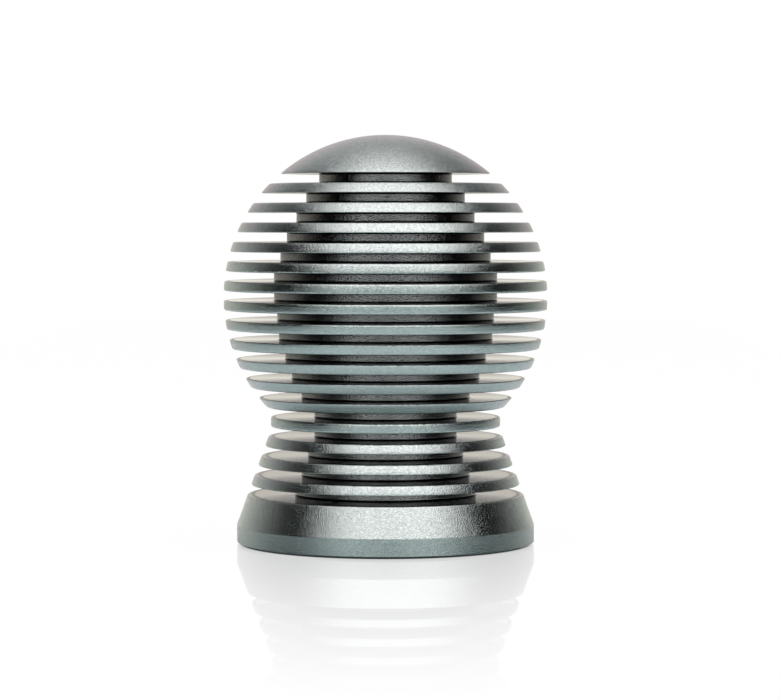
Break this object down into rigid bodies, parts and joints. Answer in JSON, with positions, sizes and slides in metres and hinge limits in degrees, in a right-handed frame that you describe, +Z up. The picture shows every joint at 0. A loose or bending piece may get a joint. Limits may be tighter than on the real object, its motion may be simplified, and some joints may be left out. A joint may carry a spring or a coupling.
{
  "type": "gear shift knob",
  "caption": "Ball-shaped gear shift knob on a flared foot, turned from aluminium with deep cooling grooves, with a brass thread adapter for the lever.",
  "frame": {"origin": "middle of the foot's flat bottom face", "axes": "+Z up the knob's axis, from the foot to the cap"},
  "size_m": [0.05, 0.05, 0.0632],
  "materials": {
    "anodised_aluminium": "bead-blasted and anodised, gunmetal grey, satin",
    "brass": "turned"
  },
  "bodies": {
    "root": {"knob_body": "anodised_aluminium", "thread_adapter": "brass"}
  },
  "joints": []
}
